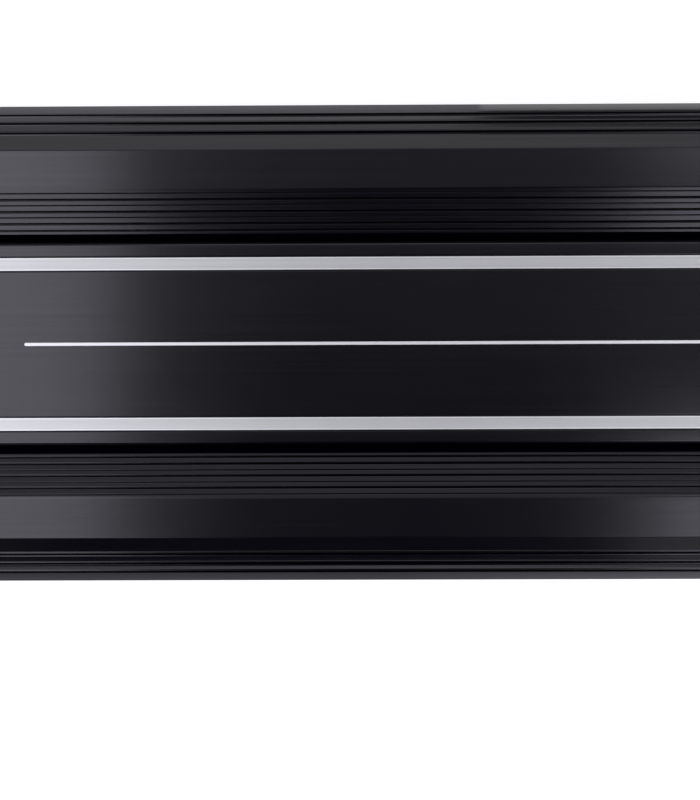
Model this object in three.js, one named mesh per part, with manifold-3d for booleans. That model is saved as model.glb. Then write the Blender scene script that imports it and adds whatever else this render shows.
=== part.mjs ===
// A long single-channel car audio amplifier: an extruded heatsink closed by a bottom plate and two
// end plates. Cable clamps are at the +X end, signal inputs and controls at the -X end, and three
// circuit boards with their large components sit inside.
//
// Millimetres. +X runs along the extrusion, +Y across it, +Z up. The origin is the centre of the
// footprint, on the surface that the amplifier stands on.
import * as THREE from "three";
import { mergeVertices } from "three/addons/utils/BufferGeometryUtils.js";
import Module from "manifold-3d";

const wasm = await Module();
wasm.setup();

// ---------------------------------------------------------------- driving dimensions

const OVERALL_LENGTH = 800; // mounting tab to mounting tab
const BODY_LENGTH = 760; // the extrusion alone
const WIDTH = 240;
const HEIGHT = 60;
const SHEET = 1.5; // bottom plate
const END_PLATE = 2.9;
const FIT = 0.1; // gap between faces that meet
const LOOSE = 0.3; // gap round a piece that turns, slides or passes through a hole
const ROUND = 16; // sides of a round piece

const HALF_BODY = BODY_LENGTH / 2;
const HALF_OVERALL = OVERALL_LENGTH / 2;
const HALF_WIDTH = WIDTH / 2;
const BODY_BOTTOM = SHEET + FIT;
const PLATE_INNER = HALF_BODY + FIT; // inner and outer faces of an end plate
const PLATE_OUTER = PLATE_INNER + END_PLATE;

// The extrusion's section, from its middle outward.
const PLATEAU_TOP = HEIGHT - 1;
const PLATEAU_HALF = 50.1;
const PLATEAU_CHAMFER = 0.7;
const STRIP_SEAT = { from: 36.3, to: 43.8, depth: 1 }; // grooves for the two bright strips
const LINE = { width: 1.8, depth: 0.3, start: 36 }; // groove for the bright centre line
const GUTTER = { deep: 46, shallow: 51.5 }; // its floor slopes up, away from the middle panel
const VALLEY_START = 54.75;
const SHOULDER = { from: 77.75, to: 97 };
const VALLEY_SLOPE = 0.325;
const VALLEY_FIN = { count: 4, pitch: 6, groove: 0.8, depth: 6, notch: 0.5, notchIn: 2.4 };
const GUTTER_FIN = { outer: 56.45, groove: 0.6, depth: 4 }; // a narrow fin beside the gutter
const FLANK_FINS = [
  [0, 7.3],
  [8.8, 12.5],
  [13.8, 16.7],
]; // distances from the shoulder's outer edge
const RIM_START = 18.3;
const FLANK_GROOVE_DEPTH = 7.5;
const SIDE_GAP = { count: 4, top: 33, pitch: 6.2, height: 4.2, root: 110 };

// Inside the extrusion.
const WALL_IN = 104;
const CEILING = 55;
const SHOULDER_CEILING = 56;
const FLANGE = { inner: 94, top: 5.6 };
const BOARD = { bottom: 15, thick: 1.6, half: 103.4 };
const LEDGE = { reach: 3, thick: 2.2, slotGap: FIT };
const UPPER_BOSS = { y: 88, z: 52, r: 4.5 };
const LOWER_BOSS = { y: 100.5, z: 8.2, r: 4.2 };
const SCREW_CHANNEL_R = 1.9;

const BOARD_TOP = BOARD.bottom + BOARD.thick;
const ON_BOARD = BOARD_TOP + FIT;

// Mounting tabs and the bottom plate's screw holes.
const TAB = { inner: 98, outer: 118, corner: 4, slotY: 109, slotR: 2.75, slotLength: 9 };
const COVER_SCREW = { y: 112, step: 144, perSide: 6, holeR: 1.7, sinkR: 3.2 };

// Cable clamps, +X end.
const HOUSING_X = { from: 364.5, to: HALF_OVERALL };
const BLOCK_X = { from: 358, to: 398.5, foot: 5 };
const HOUSING_WALL = 1.2;
const POWER = {
  pitch: 19, wireR: 5.1, wireZ: 25.5, blockWidth: 35, blockTop: 37, top: 40,
  screwR: 3.9, screwLength: 9, socketR: 2.3,
};
const SPEAKER = {
  pitch: 14, wireR: 3.3, wireZ: 23.7, blockWidth: 26, blockTop: 33, top: 36,
  screwR: 2.9, screwLength: 8, socketR: 1.75,
};
const REMOTE = {
  y: -54.5, wireR: 1.8, wireZ: 28.5, blockWidth: 7, blockTop: 37, blockBottom: 24,
  screwR: 1.9, screwLength: 7, socketR: 1.15,
};
const GROUND_Y = -78.5; // middle of each pair of clamps
const BATTERY_Y = -30.5;
const SPEAKER_MINUS_Y = 29;
const SPEAKER_PLUS_Y = 59;
const POWER_HOUSING_Y = [-98.5, -10.5];
const SPEAKER_HOUSING_Y = [14, 74];
const STATUS_LED = { y: 2, z: 30, r: 2.4 };

// Signal jacks and controls, laid out at the +X end like the clamps, in a group that is then turned
// half a turn about Z to become the -X end.
const CONTROL_Z = 27;
const KNOB = { r: 3, reach: 5, depth: 8, slot: 0.9 };
const KNOB_Y = { gain: 88, low_pass: 68, subsonic: 48, bass_boost: 28 };
const PHASE_SWITCH = { y: 8, width: 14, leverWidth: 4, travel: 4, leverHeight: 3.4 };
const REMOTE_SOCKET = { y: -14, width: 14, top: 31 };
const JACK = { sleeveR: 4.15, boreR: 3.4, coreR: 3.1, collarR: 5, pinR: 1.7, margin: 7.2 };
const JACK_Y = [-37, -51.5, -66, -80.5];

// Electronics.
const TRANSFORMER = { r: 31, holeR: 12, height: 28, x: [130, 205, 280] };
const INDUCTOR = { r: 28, holeR: 11, height: 25, x: -125 };
const CAPACITOR = { r: 15, height: 29, x: [-40, -4], y: 21 };
const TRANSISTOR = { count: 20, pitch: 31, middle: 32, width: 16, thick: 5, from: 22, to: 40 };

// ---------------------------------------------------------------- materials

const finish = (color, roughness, metalness) =>
  new THREE.MeshStandardMaterial({ color, roughness, metalness });
const ANODISED = finish(0x1c1b20, 0.38, 0.9);
const PAINTED = finish(0x18181b, 0.6, 0.3);
const NYLON = finish(0x141416, 0.65, 0);
const NICKEL = finish(0xb9b6ab, 0.3, 1);
const GOLD = finish(0xc9a24a, 0.28, 1);
const STEEL = finish(0x2a2a2c, 0.4, 0.9);
const KNOB_BLACK = finish(0x101012, 0.5, 0);
const GREEN_BOARD = finish(0x12472b, 0.55, 0);
const COPPER = finish(0x9c4f22, 0.4, 0.8);
const SLEEVE = finish(0x15161c, 0.35, 0);
const EPOXY = finish(0x1b1b1d, 0.7, 0);
const LENS = finish(0x3ad06a, 0.15, 0);
const CONTACT = finish(0x8f8f92, 0.35, 1);

// ---------------------------------------------------------------- geometry helpers

/** A closed geometry as a solid that can be joined and cut. */
function solid(geometry) {
  const bare = geometry.clone();
  bare.deleteAttribute("normal");
  bare.deleteAttribute("uv");
  const merged = mergeVertices(bare, 1e-4);
  return new wasm.Manifold(
    new wasm.Mesh({
      numProp: 3,
      vertProperties: merged.attributes.position.array,
      triVerts: new Uint32Array(merged.index.array),
    }),
  );
}

/** A solid as a flat-shaded geometry. */
function geometryOf(made) {
  const { vertProperties, triVerts } = made.getMesh();
  const geometry = new THREE.BufferGeometry();
  geometry.setAttribute("position", new THREE.BufferAttribute(vertProperties, 3));
  geometry.setIndex(new THREE.BufferAttribute(triVerts, 1));
  const flat = geometry.toNonIndexed();
  flat.computeVertexNormals();
  return flat;
}

const cut = (base, ...tools) => tools.reduce((left, tool) => left.subtract(tool), base);
const join = (...pieces) => pieces.reduce((sum, piece) => sum.add(piece));

/** A box between two values on each axis. */
function box([x0, x1], [y0, y1], [z0, z1]) {
  const geometry = new THREE.BoxGeometry(x1 - x0, y1 - y0, z1 - z0);
  geometry.translate((x0 + x1) / 2, (y0 + y1) / 2, (z0 + z1) / 2);
  return solid(geometry);
}

/** A closed solid of revolution about a line along Z through (x, y), from [radius, z] pairs. */
function turned(profile, segments = ROUND, x = 0, y = 0) {
  const points = profile.map(([r, z]) => new THREE.Vector2(r, z));
  const geometry = new THREE.LatheGeometry(points, segments);
  geometry.rotateX(Math.PI / 2);
  geometry.translate(x, y, 0);
  return solid(geometry);
}

/** A rod along X between two values of x, centred on (y, z). */
function rodX(r, [x0, x1], y, z, segments = ROUND) {
  const geometry = new THREE.CylinderGeometry(r, r, x1 - x0, segments);
  geometry.rotateZ(Math.PI / 2);
  geometry.translate((x0 + x1) / 2, y, z);
  return solid(geometry);
}

/** A rod along Z between two heights, centred on (x, y). */
function rodZ(r, [z0, z1], x, y, segments = ROUND) {
  const geometry = new THREE.CylinderGeometry(r, r, z1 - z0, segments);
  geometry.rotateX(Math.PI / 2);
  geometry.translate(x, y, (z0 + z1) / 2);
  return solid(geometry);
}

/** A shape drawn in (y, z) and extruded along X between two values of x. */
function alongX(shape, [x0, x1]) {
  const geometry = new THREE.ExtrudeGeometry(shape, {
    depth: x1 - x0,
    bevelEnabled: false,
    curveSegments: 6,
  });
  const axes = new THREE.Matrix4().makeBasis(
    new THREE.Vector3(0, 1, 0),
    new THREE.Vector3(0, 0, 1),
    new THREE.Vector3(1, 0, 0),
  );
  geometry.applyMatrix4(axes);
  geometry.translate(x0, 0, 0);
  return solid(geometry);
}

/** A shape drawn in (x, y) and extruded upward between two heights. */
function alongZ(shape, [z0, z1]) {
  const geometry = new THREE.ExtrudeGeometry(shape, {
    depth: z1 - z0,
    bevelEnabled: false,
    curveSegments: 6,
  });
  geometry.translate(0, 0, z0);
  return solid(geometry);
}

/** Points of an arc, with angles in degrees and one step about every 30 degrees. */
function arc(y, z, r, from, to) {
  const steps = Math.max(2, Math.round(Math.abs(to - from) / 30));
  return Array.from({ length: steps + 1 }, (_, i) => {
    const angle = THREE.MathUtils.degToRad(from + ((to - from) * i) / steps);
    return [y + r * Math.cos(angle), z + r * Math.sin(angle)];
  });
}

function polygon(points) {
  return new THREE.Shape(points.map(([a, b]) => new THREE.Vector2(a, b)));
}

/** A slot with round ends, centred on (x, y). length is end to end. */
function slotShape(x, y, r, length, alongYAxis) {
  const half = length / 2 - r;
  const [dx, dy, turn] = alongYAxis ? [0, half, 0] : [half, 0, -Math.PI / 2];
  const shape = new THREE.Shape();
  shape.absarc(x + dx, y + dy, r, turn, turn + Math.PI, false);
  shape.absarc(x - dx, y - dy, r, turn + Math.PI, turn + 2 * Math.PI, false);
  shape.closePath();
  return shape;
}

// ---------------------------------------------------------------- scene graph helpers

const amplifier = new THREE.Group();
const chassis = new THREE.Group();
const powerEnd = new THREE.Group();
const controlEnd = new THREE.Group();
const electronics = new THREE.Group();
controlEnd.rotation.z = Math.PI;
amplifier.add(chassis, powerEnd, controlEnd, electronics);

function place(group, name, shape, material, position = [0, 0, 0]) {
  const mesh = new THREE.Mesh(geometryOf(shape), material);
  mesh.name = name;
  mesh.position.set(...position);
  group.add(mesh);
  return mesh;
}

// ---------------------------------------------------------------- heatsink extrusion

/** How far the flank has dropped at a distance outward from the shoulder's edge. */
const flankDrop = (t) => 0.68 * t + 3.2e-5 * t ** 4;
const flankPoint = (t) => [SHOULDER.to + t, HEIGHT - flankDrop(t)];
const valleyHeight = (y) => HEIGHT - (SHOULDER.from - y) * VALLEY_SLOPE;

/** Plateau and gutter, from the middle to the foot of the first fin. */
function plateauContour() {
  const seatFloor = PLATEAU_TOP - STRIP_SEAT.depth;
  return [
    [STRIP_SEAT.from, PLATEAU_TOP],
    [STRIP_SEAT.from, seatFloor],
    [STRIP_SEAT.to, seatFloor],
    [STRIP_SEAT.to, PLATEAU_TOP],
    [PLATEAU_HALF - PLATEAU_CHAMFER, PLATEAU_TOP],
    [PLATEAU_HALF, PLATEAU_TOP - PLATEAU_CHAMFER],
    [PLATEAU_HALF, GUTTER.deep],
    [VALLEY_START, GUTTER.shallow],
  ];
}

/** The narrow fin beside the gutter and the groove behind it. */
function gutterFinContour() {
  const { outer, groove, depth } = GUTTER_FIN;
  const floor = valleyHeight(outer) - depth;
  const behind = outer + groove;
  return [
    [VALLEY_START, valleyHeight(VALLEY_START)],
    [outer, valleyHeight(outer)],
    [outer, floor],
    [behind, floor],
    [behind, valleyHeight(behind)],
  ];
}

/** Fins that climb to the shoulder. All but the first have a V notch along the top. */
function valleyContour() {
  const points = gutterFinContour();
  const { count, pitch, groove, depth, notch, notchIn } = VALLEY_FIN;
  for (let i = 0; i < count; i++) {
    const outer = SHOULDER.from - (count - 1 - i) * pitch;
    if (i > 0) {
      const start = outer - pitch + groove;
      const bottom = outer - notchIn;
      points.push([start, valleyHeight(start)]);
      points.push([bottom - notch / 2, valleyHeight(bottom - notch / 2)]);
      points.push([bottom, valleyHeight(bottom) - notch]);
      points.push([bottom + notch / 2, valleyHeight(bottom + notch / 2)]);
    }
    points.push([outer, valleyHeight(outer)]);
    if (i < count - 1) {
      const floor = valleyHeight(outer) - depth;
      points.push([outer, floor], [outer + groove, floor]);
    }
  }
  return points;
}

/** The shoulder, the finned flank, the rim and the finned side wall, down to the bottom. */
function flankContour() {
  const points = [];
  const starts = [...FLANK_FINS.slice(1).map(([from]) => from), RIM_START];
  FLANK_FINS.forEach(([from, to], i) => {
    const [inner, edge] = flankPoint(to);
    const [outer] = flankPoint(starts[i]);
    const floor = edge - FLANK_GROOVE_DEPTH;
    points.push(flankPoint(from), [inner, edge], [inner, floor], [outer, floor]);
  });
  const rimSteps = 4;
  const rimWidth = HALF_WIDTH - SHOULDER.to - RIM_START;
  for (let i = 0; i <= rimSteps; i++) {
    points.push(flankPoint(RIM_START + (rimWidth * i) / rimSteps));
  }
  for (let i = 0; i < SIDE_GAP.count; i++) {
    const top = SIDE_GAP.top - i * SIDE_GAP.pitch;
    const bottom = top - SIDE_GAP.height;
    points.push([HALF_WIDTH, top], [SIDE_GAP.root, top]);
    points.push([SIDE_GAP.root, bottom], [HALF_WIDTH, bottom]);
  }
  points.push([HALF_WIDTH, BODY_BOTTOM]);
  return points;
}

/** The inside, from the bottom flange up past the board slot to the ceiling at the middle. */
function insideContour() {
  const lower = LOWER_BOSS;
  const upper = UPPER_BOSS;
  const slotBottom = BOARD.bottom - LEDGE.slotGap;
  const slotTop = BOARD_TOP + LEDGE.slotGap;
  const ledge = WALL_IN - LEDGE.reach;
  const fromFlange = 180 + THREE.MathUtils.radToDeg(Math.asin((lower.z - FLANGE.top) / lower.r));
  const toWall = THREE.MathUtils.radToDeg(Math.acos((WALL_IN - lower.y) / lower.r));
  const neck = THREE.MathUtils.radToDeg(Math.asin((SHOULDER_CEILING - upper.z) / upper.r));
  return [
    [FLANGE.inner, BODY_BOTTOM],
    [FLANGE.inner, FLANGE.top],
    ...arc(lower.y, lower.z, lower.r, fromFlange, toWall),
    [WALL_IN, slotBottom - LEDGE.thick],
    [ledge, slotBottom - LEDGE.thick],
    [ledge, slotBottom],
    [WALL_IN, slotBottom],
    [WALL_IN, slotTop],
    [ledge, slotTop],
    [ledge, slotTop + LEDGE.thick],
    [WALL_IN, slotTop + LEDGE.thick],
    [WALL_IN, 42],
    [100, 50],
    [95.5, SHOULDER_CEILING],
    ...arc(upper.y, upper.z, upper.r, neck, -180 - neck),
    [80, SHOULDER_CEILING],
    [78, 50],
    [57, 43],
    [46, 43],
    [44, CEILING],
  ];
}

function heatsink() {
  const half = [
    ...plateauContour(),
    ...valleyContour(),
    ...flankContour(),
    ...insideContour(),
  ];
  const mirrored = half.map(([y, z]) => [-y, z]).reverse();
  const shape = polygon([...half, ...mirrored]);
  for (const side of [-1, 1]) {
    for (const boss of [UPPER_BOSS, LOWER_BOSS]) {
      const hole = new THREE.Path();
      hole.absarc(side * boss.y, boss.z, SCREW_CHANNEL_R, 0, 2 * Math.PI, false);
      shape.holes.push(hole);
    }
  }
  const bar = alongX(shape, [-HALF_BODY, HALF_BODY]);
  const past = 5; // the line's cutter runs out past the end of the extrusion
  const cutLength = HALF_BODY + past - LINE.start;
  const cutters = [-1, 1].map((side) => {
    const middle = side * (LINE.start + cutLength / 2);
    const shape = slotShape(middle, 0, LINE.width / 2, cutLength, false);
    return alongZ(shape, [PLATEAU_TOP - LINE.depth, HEIGHT]);
  });
  return cut(bar, ...cutters);
}

// ---------------------------------------------------------------- plates

/** A flat plate with two mounting tabs at each end, drawn in (x, y). */
function bottomPlateShape() {
  const { inner, outer, corner } = TAB;
  const quarter = [
    [PLATE_OUTER, inner],
    [HALF_OVERALL, inner],
    ...arc(HALF_OVERALL - corner, outer - corner, corner, 0, 90),
  ];
  const mirrorY = quarter.map(([x, y]) => [x, -y]).reverse();
  const right = [...mirrorY, ...quarter];
  const left = right.map(([x, y]) => [-x, -y]);
  return polygon([...right, ...left]);
}

function bottomPlate() {
  let plate = alongZ(bottomPlateShape(), [0, SHEET]);
  const tabX = (PLATE_OUTER + HALF_OVERALL) / 2;
  for (const sx of [-1, 1]) {
    for (const sy of [-1, 1]) {
      const slot = slotShape(sx * tabX, sy * TAB.slotY, TAB.slotR, TAB.slotLength, true);
      plate = plate.subtract(alongZ(slot, [-1, SHEET + 1]));
    }
  }
  const { holeR, sinkR, perSide, step, y } = COVER_SCREW;
  const sink = [
    [0, -1],
    [sinkR + 1, -1],
    [holeR, sinkR - holeR],
    [holeR, SHEET + 1],
    [0, SHEET + 1],
  ];
  for (let i = 0; i < perSide; i++) {
    const x = (i - (perSide - 1) / 2) * step;
    for (const sy of [-1, 1]) {
      plate = plate.subtract(turned(sink, 10, x, sy * y));
    }
  }
  return plate;
}

/** The end plates' outline follows the outside of the extrusion without its grooves. */
function endPlateBlank() {
  const flank = [...FLANK_FINS.map(([, to]) => to), HALF_WIDTH - SHOULDER.to];
  const half = [
    [SHOULDER.to, HEIGHT],
    ...flank.map(flankPoint),
    [HALF_WIDTH, BODY_BOTTOM],
  ];
  const mirrored = half.map(([y, z]) => [-y, z]).reverse();
  const blank = alongX(polygon([...half, ...mirrored]), [PLATE_INNER, PLATE_OUTER]);
  const clearance = SCREW_CHANNEL_R + LOOSE;
  const holes = [-1, 1].flatMap((side) =>
    [UPPER_BOSS, LOWER_BOSS].map(({ y, z }) =>
      rodX(clearance, [HALF_BODY - 1, PLATE_OUTER + 1], side * y, z),
    ),
  );
  return cut(blank, ...holes);
}

const THROUGH_PLATE = [PLATE_INNER - 1, PLATE_OUTER + 1];

function powerEndPlate() {
  const window = ([y0, y1], top) =>
    box(THROUGH_PLATE, [y0 - FIT, y1 + FIT], [ON_BOARD - FIT, top + FIT]);
  return cut(
    endPlateBlank(),
    window(POWER_HOUSING_Y, POWER.top),
    window(SPEAKER_HOUSING_Y, SPEAKER.top),
    rodX(STATUS_LED.r + LOOSE, THROUGH_PLATE, STATUS_LED.y, STATUS_LED.z),
  );
}

function controlEndPlate() {
  const knobs = Object.values(KNOB_Y).map((y) =>
    rodX(KNOB.r + 2 * LOOSE, THROUGH_PLATE, y, CONTROL_Z),
  );
  const jacks = JACK_Y.map((y) => rodX(JACK.collarR + LOOSE, THROUGH_PLATE, y, CONTROL_Z));
  const slotHalf = (PHASE_SWITCH.leverWidth + PHASE_SWITCH.travel) / 2 + 2 * LOOSE;
  const slotHigh = PHASE_SWITCH.leverHeight / 2 + LOOSE;
  const switchSlot = box(
    THROUGH_PLATE,
    [PHASE_SWITCH.y - slotHalf, PHASE_SWITCH.y + slotHalf],
    [CONTROL_Z - slotHigh, CONTROL_Z + slotHigh],
  );
  const socketHalf = REMOTE_SOCKET.width / 2 + FIT;
  const socketWindow = box(
    THROUGH_PLATE,
    [REMOTE_SOCKET.y - socketHalf, REMOTE_SOCKET.y + socketHalf],
    [ON_BOARD - FIT, REMOTE_SOCKET.top + FIT],
  );
  return cut(endPlateBlank(), ...knobs, ...jacks, switchSlot, socketWindow);
}

/** A button-head screw on the Z axis, its head above z = 0 and its shank below. */
function plateScrew() {
  const headR = 3.8;
  const headHeight = 2.3;
  const shankR = SCREW_CHANNEL_R - LOOSE;
  const body = turned([
    [0, -12],
    [shankR, -12],
    [shankR, 0],
    [headR, 0],
    [headR, headHeight * 0.35],
    [headR * 0.62, headHeight],
    [0, headHeight],
  ]);
  return body.subtract(rodZ(1.45, [headHeight - 1.4, headHeight + 1], 0, 0, 6));
}

function addPlateScrews() {
  const seats = [
    [-1, UPPER_BOSS],
    [1, UPPER_BOSS],
    [-1, LOWER_BOSS],
    [1, LOWER_BOSS],
  ];
  for (const [end, group] of [
    ["power", powerEnd],
    ["control", controlEnd],
  ]) {
    seats.forEach(([side, boss], i) => {
      const position = [PLATE_OUTER + FIT, side * boss.y, boss.z];
      const mesh = place(group, `${end}_plate_screw_${i + 1}`, plateScrew(), STEEL, position);
      mesh.rotation.y = Math.PI / 2;
    });
  }
}

// ---------------------------------------------------------------- cable clamps

/** One metal block for each pair of wires, with a foot at its back that reaches the board. */
function clampBlock(type, wires) {
  const half = type.blockWidth / 2;
  const bottom = type.blockBottom ?? ON_BOARD + HOUSING_WALL + FIT;
  const body = box([BLOCK_X.from, BLOCK_X.to], [-half, half], [bottom, type.blockTop]);
  const foot = box(
    [BLOCK_X.from, BLOCK_X.from + BLOCK_X.foot],
    [-half, half],
    [ON_BOARD, type.blockTop],
  );
  const screwX = (PLATE_OUTER + BLOCK_X.to) / 2;
  const holes = wires.flatMap((y) => [
    rodX(type.wireR, [PLATE_INNER - 8, BLOCK_X.to + 1], y, type.wireZ),
    rodZ(type.screwR + LOOSE, [type.wireZ, type.blockTop + 1], screwX, y),
  ]);
  return cut(join(body, foot), ...holes);
}

/** A headless screw with a hexagon socket, standing on z = 0. */
function clampScrew(type) {
  const { screwR, screwLength, socketR } = type;
  const point = screwR * 0.3;
  const body = turned([
    [0, 0],
    [screwR - point, 0],
    [screwR, point],
    [screwR, screwLength],
    [0, screwLength],
  ]);
  return body.subtract(rodZ(socketR, [screwLength * 0.55, screwLength + 1], 0, 0, 6));
}

/** A moulded housing with a through pocket for each block and a hole over each clamp screw. */
function clampHousing([y0, y1], top, cells) {
  const shell = box([HOUSING_X.from, HOUSING_X.to], [y0, y1], [ON_BOARD, top]);
  const screwX = (PLATE_OUTER + BLOCK_X.to) / 2;
  const through = [HOUSING_X.from - 1, HOUSING_X.to + 1];
  const tools = cells.flatMap(({ type, middle, wires }) => {
    const half = type.blockWidth / 2 + FIT;
    const floor = (type.blockBottom ?? ON_BOARD + HOUSING_WALL + FIT) - FIT;
    const pocket = box(through, [middle - half, middle + half], [floor, type.blockTop + FIT]);
    const access = wires.map((y) =>
      rodZ(type.screwR + 2 * LOOSE, [type.blockTop - 1, top + 1], screwX, middle + y),
    );
    return [pocket, ...access];
  });
  return cut(shell, ...tools);
}

const pair = (type) => [-type.pitch / 2, type.pitch / 2];

function addClamps() {
  const screwX = (PLATE_OUTER + BLOCK_X.to) / 2;
  const screwRest = (type) => type.wireZ + type.wireR + LOOSE;
  const banks = [
    {
      housing: "power_terminal_housing",
      span: POWER_HOUSING_Y,
      top: POWER.top,
      cells: [
        { name: "ground", type: POWER, middle: GROUND_Y, wires: pair(POWER) },
        { name: "remote", type: REMOTE, middle: REMOTE.y, wires: [0] },
        { name: "battery", type: POWER, middle: BATTERY_Y, wires: pair(POWER) },
      ],
    },
    {
      housing: "speaker_terminal_housing",
      span: SPEAKER_HOUSING_Y,
      top: SPEAKER.top,
      cells: [
        { name: "speaker_minus", type: SPEAKER, middle: SPEAKER_MINUS_Y, wires: pair(SPEAKER) },
        { name: "speaker_plus", type: SPEAKER, middle: SPEAKER_PLUS_Y, wires: pair(SPEAKER) },
      ],
    },
  ];
  for (const { housing, span, top, cells } of banks) {
    place(powerEnd, housing, clampHousing(span, top, cells), NYLON);
    for (const { name, type, middle, wires } of cells) {
      const block = clampBlock(type, wires);
      place(powerEnd, `${name}_clamp_block`, block, NICKEL, [0, middle, 0]);
      wires.forEach((y, i) => {
        const label = wires.length > 1 ? `${name}_clamp_screw_${i + 1}` : `${name}_clamp_screw`;
        place(powerEnd, label, clampScrew(type), STEEL, [screwX, middle + y, screwRest(type)]);
      });
    }
  }
}

function statusLed() {
  const { y, z, r } = STATUS_LED;
  const barrel = rodX(r, [PLATE_INNER - 6, PLATE_OUTER + 0.8], y, z);
  const collar = rodX(r + 1, [PLATE_INNER - 6, PLATE_INNER - FIT], y, z);
  const leads = box([PLATE_INNER - 5.5, PLATE_INNER - 4], [y - 1.5, y + 1.5], [ON_BOARD, z]);
  return join(barrel, collar, leads);
}

// ---------------------------------------------------------------- jacks and controls

/** One moulding behind the plate, with a collar and a pin core for each jack. */
function jackHousing() {
  const base = box(
    [PLATE_INNER - 16, PLATE_INNER - FIT],
    [Math.min(...JACK_Y) - JACK.margin, Math.max(...JACK_Y) + JACK.margin],
    [ON_BOARD, CONTROL_Z + 7.5],
  );
  return JACK_Y.reduce((block, y) => {
    const collar = rodX(JACK.collarR, [PLATE_INNER - 2, PLATE_OUTER + 1.5], y, CONTROL_Z);
    const groove = rodX(JACK.sleeveR + LOOSE, [PLATE_OUTER - 1, PLATE_OUTER + 3], y, CONTROL_Z);
    const core = rodX(JACK.coreR, [PLATE_OUTER - 2, PLATE_OUTER + 10.5], y, CONTROL_Z);
    const pinHole = rodX(JACK.pinR, [PLATE_OUTER + 2, PLATE_OUTER + 12], y, CONTROL_Z, 8);
    return join(cut(join(block, collar), groove), core).subtract(pinHole);
  }, base);
}

function jackSleeve() {
  const span = [PLATE_OUTER - 1 + FIT, PLATE_OUTER + 11];
  const tube = rodX(JACK.sleeveR, span, 0, 0);
  return tube.subtract(rodX(JACK.boreR, [span[0] - 1, span[1] + 1], 0, 0));
}

function potentiometer() {
  const body = box([PLATE_INNER - 11, PLATE_INNER - 0.5], [-5.5, 5.5], [ON_BOARD, CONTROL_Z + 6]);
  const shaftHole = rodX(KNOB.r + LOOSE, [PLATE_INNER - KNOB.depth, HALF_OVERALL], 0, CONTROL_Z);
  return body.subtract(shaftHole);
}

/** A short shaft with a screwdriver slot, on the X axis. */
function knob() {
  const tip = PLATE_OUTER + KNOB.reach;
  const shaft = rodX(KNOB.r, [PLATE_INNER - KNOB.depth + LOOSE, tip], 0, 0);
  const slotHalf = KNOB.slot / 2;
  return shaft.subtract(box([tip - 1.3, tip + 1], [-slotHalf, slotHalf], [-5, 5]));
}

function switchBody() {
  const half = PHASE_SWITCH.width / 2;
  const front = PLATE_INNER - 0.5;
  const body = box([front - 7, front], [-half, half], [ON_BOARD, CONTROL_Z + 4.5]);
  const cavity = box(
    [front - 3.5, front + 1],
    [-half + 1.2, half - 1.2],
    [CONTROL_Z - 2.6, CONTROL_Z + 2.6],
  );
  return body.subtract(cavity);
}

/** The lever's foot is wider than the slot in the plate, so it stays in. */
function switchLever() {
  const front = PLATE_INNER - 0.5;
  const { leverWidth, leverHeight } = PHASE_SWITCH;
  const lever = box(
    [front - 2, PLATE_OUTER + 2.6],
    [-leverWidth / 2, leverWidth / 2],
    [-leverHeight / 2, leverHeight / 2],
  );
  const foot = box([front - 3.2, front - 1], [-3.2, 3.2], [-2.3, 2.3]);
  return join(lever, foot);
}

function remoteSocket() {
  const half = REMOTE_SOCKET.width / 2;
  const floor = ON_BOARD + 1.8;
  const front = PLATE_OUTER + 0.4;
  const body = box([front - 17, front], [-half, half], [ON_BOARD, REMOTE_SOCKET.top]);
  const mouth = box([front - 12, front + 1], [-5.9, 5.9], [floor, floor + 7]);
  const latch = box([front - 12, front + 1], [-2.9, 2.9], [floor + 6, floor + 10]);
  return cut(body, mouth, latch);
}

function addControls() {
  for (const [name, y] of Object.entries(KNOB_Y)) {
    place(controlEnd, `${name}_potentiometer`, potentiometer(), EPOXY, [0, y, 0]);
    place(controlEnd, `${name}_knob`, knob(), KNOB_BLACK, [0, y, CONTROL_Z]);
  }
  place(controlEnd, "rca_jack_housing", jackHousing(), NYLON);
  JACK_Y.forEach((y, i) => {
    place(controlEnd, `rca_jack_sleeve_${i + 1}`, jackSleeve(), GOLD, [0, y, CONTROL_Z]);
  });
  const leverY = PHASE_SWITCH.y + PHASE_SWITCH.travel / 2;
  place(controlEnd, "phase_switch_body", switchBody(), EPOXY, [0, PHASE_SWITCH.y, 0]);
  place(controlEnd, "phase_switch_lever", switchLever(), KNOB_BLACK, [0, leverY, CONTROL_Z]);
  place(controlEnd, "bass_remote_socket", remoteSocket(), NYLON, [0, REMOTE_SOCKET.y, 0]);
}

// ---------------------------------------------------------------- electronics

function board(from, to) {
  const span = [BOARD.bottom, BOARD_TOP];
  return box([from, to], [-BOARD.half, BOARD.half], span);
}

/** A wound ring core lying flat, its section a rectangle with cut corners. */
function toroid(r, holeR, height) {
  const chamfer = 4;
  return turned([
    [holeR + chamfer, 0],
    [r - chamfer, 0],
    [r, chamfer],
    [r, height - chamfer],
    [r - chamfer, height],
    [holeR + chamfer, height],
    [holeR, height - chamfer],
    [holeR, chamfer],
    [holeR + chamfer, 0],
  ]);
}

function capacitor() {
  const { r, height } = CAPACITOR;
  return turned([
    [0, 0],
    [r - 1, 0],
    [r, 1],
    [r, height - 1.5],
    [r - 1.5, height],
    [r - 3, height],
    [r - 3, height - 0.6],
    [0, height - 0.6],
  ]);
}

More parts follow.
